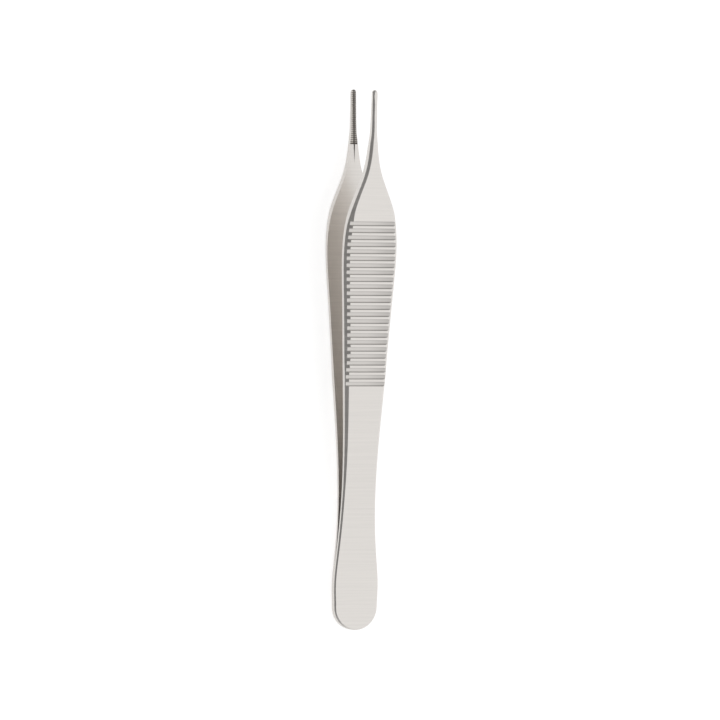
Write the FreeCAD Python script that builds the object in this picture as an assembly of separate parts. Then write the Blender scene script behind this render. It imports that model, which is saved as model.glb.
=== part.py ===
import FreeCAD, Part
import math
import os

# Thumb forceps: two sprung steel arms welded face to face at the heel. The arms are one shape and
# its mirror image. Millimetres. While an arm is made, X runs across it, Y from the heel end to the
# tip, and Z away from the face on which the two arms meet.

V = FreeCAD.Vector
BEYOND = 2.0            # how far a shape that is trimmed later runs on past the arm's ends
REACH = 30.0            # wider and higher than an arm, for the same use

# Whole instrument
LENGTH = 120.0          # heel end to tips
WELD_LENGTH = 12.0      # joined length at the heel

# Outline of an arm, seen square on: half its width at places along it, with round ends. Here and
# below, a place is measured from the heel end, or back from the tips where its name says so.
HEEL_RADIUS = 5.1
TIP_RADIUS = 0.56
HEEL_BULGE = 0.14       # how far the widest place of the heel stands out past its round
BULGE_AT = 9.0
HEEL_SIDE_HALF = 4.66
HEEL_SIDE_AT = 17.2
WAIST_HALF = 3.93       # narrowest place
WAIST_AT = 29.6
SHAFT_HALF = 4.15
SHAFT_AT = 43.0
GRIP_START_HALF = 5.02
GRIP_START_BACK = 61.0
GRIP_MIDDLE_HALF = 5.86
GRIP_MIDDLE_BACK = 45.5
BELLY_HALF = 6.28       # widest place of the grip
BELLY_BACK = 34.8
FLARE_TOP_HALF = 5.40
FLARE_TOP_BACK = 27.8
FLARE_MIDDLE_HALF = 3.28
FLARE_MIDDLE_BACK = 22.0
FLARE_END_HALF = 1.50
FLARE_END_BACK = 16.6
NOSE_START_HALF = 0.84
NOSE_START_BACK = 11.4

# Inner face, seen from the side: flat at the weld, bent outward, bent back at the flare, then
# outward again along the jaw
SPREAD = 0.0655         # rise of an arm's inner face for each millimetre along
FLARE_SPREAD = 0.02     # the same, in the flare
JAW_SPREAD = 0.062      # and in the jaw
SPREAD_FROM = 17.8      # where the straight inner face, run on, meets the weld face
FLARE_BEND_BACK = 36.0
JAW_BEND_BACK = 17.0
INNER_BEND_LENGTH = 8.0

# Thickness of an arm
HEEL_THICKNESS = 1.05   # so thick that the heel lies on the ground together with the grip
GRIP_THICKNESS = 2.2
TIP_THICKNESS = 0.95
SWELL_START = 28.0      # the arm thickens from here
SWELL_END_BACK = 58.0   # to here
NOSE_THINS_BACK = 27.0  # and thins from here to the tip
FACE_BEND_LENGTH = 5.0  # length of each rounded bend in the outer face

# Bevel along the outer edges: its width at places along the arm, and its fall for that width
HEEL_BEVEL = 0.28       # from the heel end to the end of the weld
WAIST_BEVEL = 0.33
SHAFT_BEVEL = 0.55
GRIP_FOOT_BEVEL = 0.72
GRIP_FOOT_BEVEL_BACK = 63.0
GRIP_BEVEL = 1.04       # along most of the grip
GRIP_BEVEL_START_BACK = 59.5
GRIP_BEVEL_END_BACK = 30.0
FLARE_BEVEL = 0.7
FLARE_BEVEL_BACK = 27.5
NECK_BEVEL = 0.55
NECK_BEVEL_START_BACK = 24.0
NECK_BEVEL_END_BACK = 13.0
JAW_BEVEL = 0.37
JAW_BEVEL_BACK = 7.0
BEVEL_FALL = 1.1
BEVEL_STATIONS = 56     # places at which the bevel is set out along a side

# Grip: narrow lands between wide flat-bottomed grooves right across the outer face
GROOVES = 24
GROOVE_PITCH = 1.547
FIRST_GROOVE_BACK = 65.6 # heel side of the first groove
GROOVE_WIDTH = 1.0
GROOVE_FLOOR = 0.8
GROOVE_DEPTH = 0.6

# Jaws: fine teeth across the inner face, parted by a groove along the middle
TEETH = 26
TOOTH_PITCH = 0.456
TOOTH_DEPTH = 0.26
STOP_CUT_WIDTH = 0.3    # deeper cut behind the last tooth
STOP_CUT_DEPTH = 0.36
MIDDLE_GROOVE_WIDTH = 0.34
MIDDLE_GROOVE_DEPTH = 0.42
MIDDLE_GROOVE_FADES = 4.8

# Places along an arm that are set from the tips, so that a longer one has a longer shaft
FLARE_BEND = LENGTH - FLARE_BEND_BACK
JAW_BEND = LENGTH - JAW_BEND_BACK
SWELL_END = LENGTH - SWELL_END_BACK
NOSE_THINS = LENGTH - NOSE_THINS_BACK
FIRST_GROOVE = LENGTH - FIRST_GROOVE_BACK


def inner_height(along):
    """Height of the inner face over the weld face, the bends not counted."""
    height = 0.0
    for start, end, slope in ((SPREAD_FROM, FLARE_BEND, SPREAD),
                              (FLARE_BEND, JAW_BEND, FLARE_SPREAD),
                              (JAW_BEND, LENGTH + BEYOND, JAW_SPREAD)):
        height += slope * max(min(along, end) - start, 0)
    return height


def corner(along, thickness, bend_length):
    return V(0, along, inner_height(along) + thickness), bend_length


def grip_face(along, bend_length):
    """A place on the flat outer face of the grip, which also runs on past the inner bend."""
    return V(0, along, SPREAD * (along - SPREAD_FROM) + GRIP_THICKNESS), bend_length


def bent_path(corners):
    """Straight lines through the corners, each inside corner turned into an arc."""
    edges = []
    start = corners[0][0]
    for before, here, after in zip(corners, corners[1:], corners[2:]):
        point, bend_length = here
        into = (point - before[0]).normalize()
        out = (after[0] - point).normalize()
        reach = bend_length / 2
        half = into.getAngle(out) / 2
        lift = reach / math.tan(half) * (1 / math.cos(half) - 1)
        arc_start, arc_end = point - into * reach, point + out * reach
        edges.append(Part.LineSegment(start, arc_start).toShape())
        middle = point + (out - into).normalize() * lift
        edges.append(Part.Arc(arc_start, middle, arc_end).toShape())
        start = arc_end
    edges.append(Part.LineSegment(start, corners[-1][0]).toShape())
    return edges


def side_curve():
    """Right-hand side of the outline, from the round of the heel to the round of the tip."""
    from_heel = [(HEEL_RADIUS, HEEL_RADIUS), (HEEL_RADIUS + HEEL_BULGE, BULGE_AT),
                 (HEEL_SIDE_HALF, HEEL_SIDE_AT), (WAIST_HALF, WAIST_AT), (SHAFT_HALF, SHAFT_AT)]
    from_tip = [(GRIP_START_HALF, GRIP_START_BACK), (GRIP_MIDDLE_HALF, GRIP_MIDDLE_BACK),
                (BELLY_HALF, BELLY_BACK), (FLARE_TOP_HALF, FLARE_TOP_BACK),
                (FLARE_MIDDLE_HALF, FLARE_MIDDLE_BACK), (FLARE_END_HALF, FLARE_END_BACK),
                (NOSE_START_HALF, NOSE_START_BACK), (TIP_RADIUS, TIP_RADIUS)]
    points = [V(half, along) for half, along in from_heel]
    points += [V(half, LENGTH - back) for half, back in from_tip]
    side = Part.BSplineCurve()
    side.interpolate(Points=points, InitialTangent=V(0, 1), FinalTangent=V(0, 1))
    return side.toShape()


def plan_solid():
    """Outline of the arm, drawn up through its whole height."""
    right = side_curve()
    start, end = right.Vertexes[0].Point, right.Vertexes[1].Point
    edges = [right, right.mirror(V(), V(1, 0, 0)),
             Part.Arc(V(-start.x, start.y), V(0, 0), start).toShape(),
             Part.Arc(V(-end.x, end.y), V(0, LENGTH), end).toShape()]
    face = Part.Face(Part.Wire(Part.__sortEdges__(edges)))
    face.translate(V(0, 0, -BEYOND))
    return face.extrude(V(0, 0, REACH))


def inner_path():
    return [(V(0, -BEYOND, 0), 0),
            corner(SPREAD_FROM, 0, 2 * (SPREAD_FROM - WELD_LENGTH)),
            corner(FLARE_BEND, 0, INNER_BEND_LENGTH),
            corner(JAW_BEND, 0, INNER_BEND_LENGTH),
            corner(LENGTH + BEYOND, 0, 0)]


def outer_path():
    return [(V(0, -BEYOND, HEEL_THICKNESS), 0),
            corner(SPREAD_FROM, HEEL_THICKNESS, 2 * (SPREAD_FROM - WELD_LENGTH)),
            corner(SWELL_START, HEEL_THICKNESS, FACE_BEND_LENGTH),
            corner(SWELL_END, GRIP_THICKNESS, FACE_BEND_LENGTH),
            grip_face(NOSE_THINS, FACE_BEND_LENGTH),
            corner(LENGTH + BEYOND, TIP_THICKNESS, 0)]


def outer_height(along):
    """Height of the outer face over the weld face."""
    upright = Part.makeLine(V(0, along, -BEYOND), V(0, along, REACH))
    return upright.distToShape(Part.Wire(bent_path(outer_path())))[1][0][0].z


def profile_solid():
    """The arm seen from the side, drawn out through its whole width."""
    inner, outer = inner_path(), outer_path()
    ends = [Part.LineSegment(inner[i][0], outer[i][0]).toShape() for i in (0, -1)]
    face = Part.Face(Part.Wire(Part.__sortEdges__(bent_path(inner) + bent_path(outer) + ends)))
    face.translate(V(-REACH / 2, 0, 0))
    return face.extrude(V(REACH, 0, 0))


def bevel_width(along):
    """Width of the bevel at a place along the arm."""
    places = [(0, HEEL_BEVEL), (WELD_LENGTH, HEEL_BEVEL), (WAIST_AT, WAIST_BEVEL),
              (SHAFT_AT, SHAFT_BEVEL)]
    from_tip = [(GRIP_FOOT_BEVEL_BACK, GRIP_FOOT_BEVEL), (GRIP_BEVEL_START_BACK, GRIP_BEVEL),
                (GRIP_BEVEL_END_BACK, GRIP_BEVEL), (FLARE_BEVEL_BACK, FLARE_BEVEL),
                (NECK_BEVEL_START_BACK, NECK_BEVEL), (NECK_BEVEL_END_BACK, NECK_BEVEL),
                (JAW_BEVEL_BACK, JAW_BEVEL)]
    places += [(LENGTH - back, width) for back, width in from_tip]
    for (y0, w0), (y1, w1) in zip(places, places[1:]):
        if along <= y1:
            return w0 + (w1 - w0) * max(along - y0, 0) / (y1 - y0)
    return JAW_BEVEL


def bevel_section(half_width, along, height):
    """What the bevel takes off, cut across the arm: a triangle that reaches past both faces."""
    width = bevel_width(along)
    fall = width * BEVEL_FALL
    low = V(half_width + 0.5 * width, along, height - 1.5 * fall)
    inmost = V(half_width - 1.5 * width, along, height + 0.5 * fall)
    out = V(half_width + 0.5 * width, along, height + 0.5 * fall)
    return Part.makePolygon([low, inmost, out, low])


def bevel_cuts():
    """The bevel along both sides, and round the heel and the tip."""
    sections = [bevel_section(place.x, place.y, outer_height(place.y))
                for place in side_curve().discretize(Number=BEVEL_STATIONS)]
    right = Part.makeLoft(sections, True, False)
    cuts = [right, right.mirror(V(), V(1, 0, 0))]
    for section, turn in ((sections[0], -180), (sections[-1], 180)):
        centre = V(0, section.Vertexes[0].Y, 0)
        cuts.append(Part.Face(section).revolve(centre, V(0, 0, 1), turn))
    return cuts


def bar_across(section):
    """A bar right across the arm with the given outline, points given along and away."""
    points = [V(-REACH / 2, along, away) for along, away in section]
    return Part.Face(Part.makePolygon(points + points[:1])).extrude(V(REACH, 0, 0))


def grip_grooves():
    """Flat-bottomed grooves of one depth, square to the flat part of the grip."""
    lean = (GROOVE_WIDTH - GROOVE_FLOOR) / 2 / GROOVE_DEPTH
    top, half_top = BEYOND, GROOVE_WIDTH / 2 + lean * BEYOND
    cuts = []
    for i in range(GROOVES):
        cut = bar_across([(-half_top, top), (-GROOVE_FLOOR / 2, -GROOVE_DEPTH),
                          (GROOVE_FLOOR / 2, -GROOVE_DEPTH), (half_top, top)])
        cut.rotate(V(), V(1, 0, 0), math.degrees(math.atan(SPREAD)))
        middle = FIRST_GROOVE + GROOVE_WIDTH / 2 + i * GROOVE_PITCH
        cut.translate(V(0, middle, outer_height(middle)))
        cuts.append(cut)
    return cuts


def jaw_cuts():
    """Teeth, the deeper cut behind them and the groove along the middle of the jaw."""
    strip = TEETH * TOOTH_PITCH
    teeth = [(BEYOND, -BEYOND), (BEYOND, 0)]
    for i in range(TEETH):
        teeth += [(-i * TOOTH_PITCH, 0), (-(i + 0.5) * TOOTH_PITCH, TOOTH_DEPTH)]
    teeth += [(-strip, 0), (-strip, -BEYOND)]
    stop = [(-strip - STOP_CUT_WIDTH, 0), (-strip - STOP_CUT_WIDTH / 2, STOP_CUT_DEPTH),
            (-strip, 0), (-strip, -BEYOND), (-strip - STOP_CUT_WIDTH, -BEYOND)]
    half = MIDDLE_GROOVE_WIDTH / 2
    deep_end = Part.makePolygon([V(-half, 0, 0), V(0, 0, MIDDLE_GROOVE_DEPTH), V(half, 0, 0),
                                 V(-half, 0, 0)])
    groove = Part.Face(deep_end).extrude(V(0, strip + BEYOND, 0))
    fade = Part.makeLoft([deep_end, Part.Vertex(0, -MIDDLE_GROOVE_FADES, 0)], True)
    for cut in (groove, fade):
        cut.translate(V(0, -strip, 0))
    cuts = [bar_across(teeth), bar_across(stop), groove, fade]
    for cut in cuts:
        cut.rotate(V(), V(1, 0, 0), math.degrees(math.atan(JAW_SPREAD)))
        cut.translate(corner(LENGTH, 0, 0)[0])
    return cuts


blank = plan_solid().common(profile_solid())
arm = blank.cut(bevel_cuts()).cut(grip_grooves()).cut(jaw_cuts()).Solids[0]

# At rest the lower arm lies on its heel end and on the lands of its grip.
# The frame's origin is on the ground, under the middle of the whole.
arms = {"upper_arm": arm, "lower_arm": arm.mirror(V(), V(0, 0, 1))}
rest_point = grip_face(0, 0)[0]
for shape in arms.values():
    shape.translate(V(0, 0, rest_point.z))
    shape.rotate(V(), V(1, 0, 0), math.degrees(math.atan(SPREAD)))
whole = Part.makeCompound(list(arms.values())).optimalBoundingBox(False)
os.makedirs("parts", exist_ok=True)
for name, shape in arms.items():
    shape.translate(V(0, -whole.Center.y, 0))
    shape.exportStep("parts/" + name + ".step")
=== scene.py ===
import math

import bpy
from mathutils import Matrix, Vector

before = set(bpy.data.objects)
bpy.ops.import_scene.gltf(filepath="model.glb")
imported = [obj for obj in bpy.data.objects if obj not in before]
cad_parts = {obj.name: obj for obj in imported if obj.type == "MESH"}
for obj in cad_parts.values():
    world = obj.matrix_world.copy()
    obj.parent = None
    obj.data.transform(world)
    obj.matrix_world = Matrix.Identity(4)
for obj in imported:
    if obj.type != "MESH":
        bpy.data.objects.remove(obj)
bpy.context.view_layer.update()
scene = bpy.context.scene
scene.view_settings.view_transform = "Standard"


# Camera: a long lens square to the length, turned to the left side so that both arms show

CAMERA_TURN = math.radians(22.6)       # away from straight above the upper arm
ARM_SLOPE = math.radians(3.75)         # of the plane midway between the arms
CAMERA_PITCH = math.radians(2.4)       # towards the tips
CAMERA_ROLL = math.radians(1.07)       # about its line of sight
CAMERA_DISTANCE = 1.6
VIEW_WIDTH = 0.16029                   # what the frame shows across, at the object
AIM_RIGHT = 0.00214                    # of the middle of the arms
SENSOR_WIDTH = 36.0


def add_camera():
    """Square to the plane midway between the arms, but for the turn, the pitch and the roll."""
    data = bpy.data.cameras.new("camera")
    camera = bpy.data.objects.new("camera", data)
    scene.collection.objects.link(camera)
    along = Vector((0.0, math.cos(ARM_SLOPE), math.sin(ARM_SLOPE)))
    away = Vector((0.0, -math.sin(ARM_SLOPE), math.cos(ARM_SLOPE)))
    back = away * math.cos(CAMERA_TURN) - Vector((1.0, 0.0, 0.0)) * math.sin(CAMERA_TURN)
    right = along.cross(back)
    along, back = (along * math.cos(CAMERA_PITCH) - back * math.sin(CAMERA_PITCH),
                   back * math.cos(CAMERA_PITCH) + along * math.sin(CAMERA_PITCH))
    axes = Matrix((right, along, back)).transposed() @ Matrix.Rotation(CAMERA_ROLL, 3, "Z")
    camera.matrix_world = (
        Matrix.Translation(right * AIM_RIGHT + back * CAMERA_DISTANCE) @ axes.to_4x4())
    data.sensor_width = SENSOR_WIDTH
    data.lens = SENSOR_WIDTH * CAMERA_DISTANCE / VIEW_WIDTH
    data.clip_start, data.clip_end = 0.05, 20.0
    scene.camera = camera


# Arithmetic of the materials and the room

def calc(tree, operation, *values):
    """One step of arithmetic on sockets or plain numbers."""
    node = tree.nodes.new("ShaderNodeMath")
    node.operation = operation
    for socket, value in zip(node.inputs, values):
        if isinstance(value, (int, float)):
            socket.default_value = value
        else:
            tree.links.new(value, socket)
    return node.outputs[0]


def rise(tree, value, start, end, low=0.0, high=1.0):
    """From low at the start to high at the end, smooth between them and level outside."""
    node = tree.nodes.new("ShaderNodeMapRange")
    node.interpolation_type = "SMOOTHSTEP"
    for socket, number in zip(("From Min", "From Max", "To Min", "To Max"),
                              (start, end, low, high)):
        node.inputs[socket].default_value = number
    tree.links.new(value, node.inputs["Value"])
    return node.outputs[0]


def within(tree, value, start, end, soft):
    """1 between the start and the end, 0 outside."""
    return calc(tree, "MULTIPLY", rise(tree, value, start - soft, start + soft),
                rise(tree, value, end - soft, end + soft, 1.0, 0.0))


def product(tree, *values):
    """All the values multiplied together."""
    total = values[0]
    for value in values[1:]:
        total = calc(tree, "MULTIPLY", total, value)
    return total


def toned(tree, part, mask):
    """The given share where the mask is 1, and the whole where it is 0."""
    return calc(tree, "ADD", calc(tree, "MULTIPLY", part, mask),
                calc(tree, "SUBTRACT", 1.0, mask))


# Floor and light

TABLE_SIZE = 6.0
TABLE_DROP = 0.00002                   # under the ground, clear of the faces that lie on it
PAPER_TONE = 0.82
GLOW_SEEN = 0.62                       # of the table where the camera looks at it
GLOW_MIRRORED = 0.45                   # and where the steel mirrors it
ROOM_LIGHT = 0.68
ROOM_SHADES = (                        # axis, where it is darkest, where it is full, how dark
    ("X", -0.95, -0.35, 0.25),
    ("Y", 0.95, 0.30, 0.35),
    ("Y", -0.95, -0.45, 0.35),
)


def add_floor():
    """A white table top: white where it is looked at or mirrored, plain pale paper otherwise."""
    bpy.ops.mesh.primitive_plane_add(size=TABLE_SIZE, location=(0.0, 0.0, -TABLE_DROP))
    floor = bpy.context.object
    floor.name = "table_top"
    paper = bpy.data.materials.new("white_paper")
    paper.use_nodes = True
    tree = paper.node_tree
    nodes, links = tree.nodes, tree.links
    nodes.clear()
    out = nodes.new("ShaderNodeOutputMaterial")
    matte = nodes.new("ShaderNodeBsdfDiffuse")
    matte.inputs["Color"].default_value = (PAPER_TONE, PAPER_TONE, PAPER_TONE, 1.0)
    glow = nodes.new("ShaderNodeEmission")
    glow.inputs["Color"].default_value = (1.0, 1.0, 1.0, 1.0)
    seen = nodes.new("ShaderNodeLightPath")
    looked_at = calc(tree, "MULTIPLY", seen.outputs["Is Camera Ray"], GLOW_SEEN)
    strength = calc(tree, "MULTIPLY_ADD", seen.outputs["Is Glossy Ray"], GLOW_MIRRORED, looked_at)
    links.new(strength, glow.inputs["Strength"])
    both = nodes.new("ShaderNodeAddShader")
    links.new(matte.outputs[0], both.inputs[0])
    links.new(glow.outputs[0], both.inputs[1])
    links.new(both.outputs[0], out.inputs["Surface"])
    floor.data.materials.append(paper)


def add_softbox(name, place, width, height, watts):
    """A white rectangular lamp that faces the forceps."""
    data = bpy.data.lights.new(name, "AREA")
    data.shape = "RECTANGLE"
    data.size, data.size_y = width, height
    data.energy = watts
    lamp = bpy.data.objects.new(name, data)
    scene.collection.objects.link(lamp)
    lamp.location = place
    lamp.rotation_euler = (-Vector(place)).to_track_quat("-Z", "Y").to_euler()


def add_room():
    """The white room round the table, darker near the horizon on the left and at both ends."""
    room = bpy.data.worlds.new("room")
    scene.world = room
    room.use_nodes = True
    tree = room.node_tree
    nodes, links = tree.nodes, tree.links
    nodes.clear()
    out = nodes.new("ShaderNodeOutputWorld")
    air = nodes.new("ShaderNodeBackground")
    way = nodes.new("ShaderNodeTexCoord")
    split = nodes.new("ShaderNodeSeparateXYZ")
    links.new(way.outputs["Generated"], split.inputs[0])
    shades = [rise(tree, split.outputs[axis], darkest, full, dark, 1.0)
              for axis, darkest, full, dark in ROOM_SHADES]
    links.new(product(tree, ROOM_LIGHT, *shades), air.inputs["Strength"])
    air.inputs["Color"].default_value = (1.0, 1.0, 1.0, 1.0)
    links.new(air.outputs[0], out.inputs["Surface"])


# Satin steel

# Places on an arm, in metres: across it, along it, and out from the lands of its grip
WELD_OFFSET = 0.004955                 # from the frame's origin to the plane between the arms
GROOVES_FROM, GROOVES_TO = -0.005473, 0.031184
GROOVES_BLUR = 0.00001                 # of the ends of their painted shade
GROOVES_OUT = (-0.0013, -0.0012)       # the inner face is farther in, the grooves farther out
GROOVE_STEP = 0.0015503
GROOVES_SHADED_ACROSS = (-0.001, 0.006)         # across: from here to here a painted shade darkens them
TEETH_FROM, TEETH_TO = 0.0479, 0.060064
TEETH_BLUR = 0.00002
TEETH_IN = (-0.00245, -0.00255)        # the nose's outer face is farther out, the teeth farther in
TOOTH_STEP = 0.000456
FAR_HALF = (0.0, 0.00015)              # across: where the right half of the teeth starts
SLIT_FROM = 0.0415                     # of the groove along the middle of the jaw
SLIT_BLUR = 0.0002
SLIT_WALLS = (0.00022, 0.00018)        # across: they are nearer to the middle than this

LEANING, LEVEL = 0.45, 0.35            # how far the normal of such a face points across

# Tones: shares of the steel's own colour
GROOVE_PAINTED_SHADES = (                       # painted shade at shares of a step: corner, floor, corner, land
    (0.0, 0.58), (0.07, 0.66), (0.13, 0.86), (0.40, 0.89), (0.53, 0.78),
    (0.62, 0.80), (0.66, 1.0), (0.97, 1.0), (1.0, 0.58),
)
LAND_TONE, FLOOR_TONE = 0.97, 0.90     # lands are above the first, floors below the second
# painted shade: the share left to the groove floors on the right
RIGHT_PAINTED_SHADE = 0.80
VALLEY_TO, CREST_FROM = 0.12, 0.38     # shares of a step, from the middle of a valley
VALLEY_TONE, CREST_TONE = 0.55, 1.24
FAR_HALF_TONE = 0.8
SLIT_TONE = 0.6

DARK_STEEL = (0.75, 0.722, 0.69, 1.0)
LIGHT_STEEL = (0.885, 0.85, 0.812, 1.0)
GRAIN_FINENESS = (60.0, 2400.0, 60.0)  # finest along the arm, so that its strokes run across
GRAIN_DETAIL = 4.0
SMOOTHEST, ROUGHEST = 0.26, 0.36


def arm_place(tree, upper):
    """Place on an arm: across, along its outer face, and outwards from the lands of its grip."""
    where = tree.nodes.new("ShaderNodeTexCoord")
    turn = tree.nodes.new("ShaderNodeMapping")
    if upper:
        turn.inputs["Rotation"].default_value = (-2 * ARM_SLOPE, 0.0, 0.0)
        turn.inputs["Location"].default_value = (
            0.0, -2 * WELD_OFFSET * math.sin(ARM_SLOPE), -2 * WELD_OFFSET * math.cos(ARM_SLOPE))
    else:
        turn.inputs["Scale"].default_value = (1.0, 1.0, -1.0)
    tree.links.new(where.outputs["Object"], turn.inputs["Vector"])
    parts = tree.nodes.new("ShaderNodeSeparateXYZ")
    tree.links.new(turn.outputs[0], parts.inputs[0])
    return parts.outputs


def groove_painted_shade(tree, across, along, out, level):
    """Painted shade in the grooves: darker than the lands, most of all in their corners and on the
    right.
    """
    turn = calc(tree, "FRACT", calc(tree, "DIVIDE", calc(tree, "SUBTRACT", along, GROOVES_FROM),
                                    GROOVE_STEP))
    ramp = tree.nodes.new("ShaderNodeValToRGB")
    stops = ramp.color_ramp.elements
    for share, _ in GROOVE_PAINTED_SHADES[1:-1]:
        stops.new(share)
    for stop, (_, tone) in zip(stops, GROOVE_PAINTED_SHADES):
        stop.color = (tone, tone, tone, 1.0)
    tree.links.new(turn, ramp.inputs["Fac"])
    # painted shade of the grooves along each step, darkest in the corners
    tone = ramp.outputs["Color"]
    grooved = product(tree, level, within(tree, along, GROOVES_FROM, GROOVES_TO, GROOVES_BLUR),
                      rise(tree, out, *GROOVES_OUT))
    deep = product(tree, grooved, rise(tree, tone, LAND_TONE, FLOOR_TONE))
    # painted shade that darkens the groove floors towards the right
    right_side_shade = rise(tree, across, *GROOVES_SHADED_ACROSS, 1.0, RIGHT_PAINTED_SHADE)
    return product(tree, toned(tree, tone, grooved), toned(tree, right_side_shade, deep))


def jaw_tone(tree, across, along, out, level):
    """Teeth are bright on their crests and dull between them; the slit's walls are dull."""
    teeth = product(tree, within(tree, along, TEETH_FROM, TEETH_TO, TEETH_BLUR),
                    rise(tree, out, *TEETH_IN), level)
    turn = calc(tree, "FRACT", calc(tree, "DIVIDE", calc(tree, "SUBTRACT", TEETH_TO, along),
                                    TOOTH_STEP))
    from_valley = calc(tree, "ABSOLUTE", calc(tree, "SUBTRACT", turn, 0.5))
    valley = rise(tree, from_valley, VALLEY_TO, CREST_FROM, VALLEY_TONE, CREST_TONE)
    far_half = rise(tree, across, *FAR_HALF, 1.0, FAR_HALF_TONE)
    slit = product(tree, rise(tree, along, SLIT_FROM - SLIT_BLUR, SLIT_FROM),
                   rise(tree, calc(tree, "ABSOLUTE", across), *SLIT_WALLS),
                   calc(tree, "SUBTRACT", 1.0, level))
    return product(tree, toned(tree, valley, teeth), toned(tree, far_half, teeth),
                   toned(tree, SLIT_TONE, slit))


def satin_steel(name, upper):
    """Steel brushed across the arm, with the tones of its grooves and jaw."""
    steel = bpy.data.materials.new(name)
    steel.use_nodes = True
    tree = steel.node_tree
    nodes, links = tree.nodes, tree.links
    surface = nodes["Principled BSDF"]
    surface.inputs["Metallic"].default_value = 1.0
    across, along, out = arm_place(tree, upper)
    facing = nodes.new("ShaderNodeNewGeometry")
    lean = nodes.new("ShaderNodeSeparateXYZ")
    links.new(facing.outputs["Normal"], lean.inputs[0])
    lean_across = calc(tree, "ABSOLUTE", lean.outputs["X"])
    level = rise(tree, lean_across, LEANING, LEVEL)
    tone = product(tree, groove_painted_shade(tree, across, along, out, level),
                   jaw_tone(tree, across, along, out, level))

    place = nodes.new("ShaderNodeTexCoord")
    stretch = nodes.new("ShaderNodeMapping")
    stretch.inputs["Scale"].default_value = GRAIN_FINENESS
    links.new(place.outputs["Object"], stretch.inputs["Vector"])
    grain = nodes.new("ShaderNodeTexNoise")
    grain.inputs["Scale"].default_value = 1.0
    grain.inputs["Detail"].default_value = GRAIN_DETAIL
    links.new(stretch.outputs[0], grain.inputs["Vector"])
    metal = nodes.new("ShaderNodeMix")
    metal.data_type = "RGBA"
    metal.inputs["A"].default_value = DARK_STEEL
    metal.inputs["B"].default_value = LIGHT_STEEL
    links.new(grain.outputs["Fac"], metal.inputs["Factor"])
    shaded = nodes.new("ShaderNodeVectorMath")
    shaded.operation = "SCALE"
    links.new(metal.outputs["Result"], shaded.inputs["Vector"])
    links.new(tone, shaded.inputs["Scale"])
    links.new(shaded.outputs["Vector"], surface.inputs["Base Color"])
    roughness = rise(tree, grain.outputs["Fac"], 0.0, 1.0, SMOOTHEST, ROUGHEST)
    links.new(roughness, surface.inputs["Roughness"])
    return steel


add_camera()
add_floor()
add_room()
add_softbox("overhead_box", place=(0.35, -0.1, 1.2), width=1.2, height=1.6, watts=1.5)
add_softbox("heel_box", place=(0.1, -1.2, 0.55), width=1.4, height=0.8, watts=0.3)
for name in ("upper_arm", "lower_arm"):
    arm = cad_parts[name]
    steel = satin_steel(name + "_steel", name == "upper_arm")
    for slot in arm.material_slots:
        slot.material = steel
